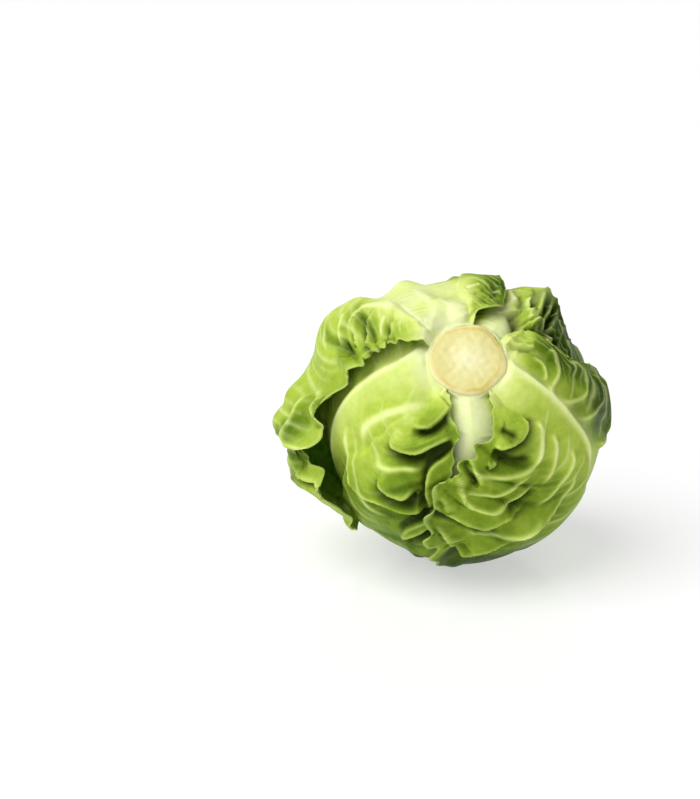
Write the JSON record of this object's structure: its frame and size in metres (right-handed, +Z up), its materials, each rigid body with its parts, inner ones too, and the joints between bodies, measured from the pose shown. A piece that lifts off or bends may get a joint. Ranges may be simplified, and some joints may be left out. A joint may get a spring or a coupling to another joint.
{
  "type": "brussels sprout",
  "caption": "Cut Brussels sprout head lying on its side, stem end forward: overlapping folded leaves round a dense heart, with a trimmed stem.",
  "frame": {"origin": "middle of the small flat spot that the head rests on, straight below the head's centre", "axes": "+Z up from the resting surface; the cut stem end faces -Y and 42 degrees up, turned 2.4 degrees towards +X; +X is to the right when looking at the stem end"},
  "size_m": [0.0465, 0.0427, 0.0403],
  "materials": {
    "cut_stem": "moist cut stem, cream with a tan ring near its rim",
    "heart_leaf": "pale yellow-green packed leaf",
    "inner_leaf": "satin pale green leaf",
    "outer_leaf": "satin green leaf with pale ribs and veins"
  },
  "bodies": {
    "root": {"stem": "cut_stem", "heart": "heart_leaf", "inner_leaf_1": "inner_leaf", "inner_leaf_2": "inner_leaf", "inner_leaf_3": "inner_leaf", "outer_leaf_lower": "outer_leaf", "outer_leaf_upper_right": "outer_leaf", "outer_leaf_left": "outer_leaf", "outer_leaf_right": "outer_leaf", "outer_leaf_upper": "outer_leaf"}
  },
  "joints": []
}
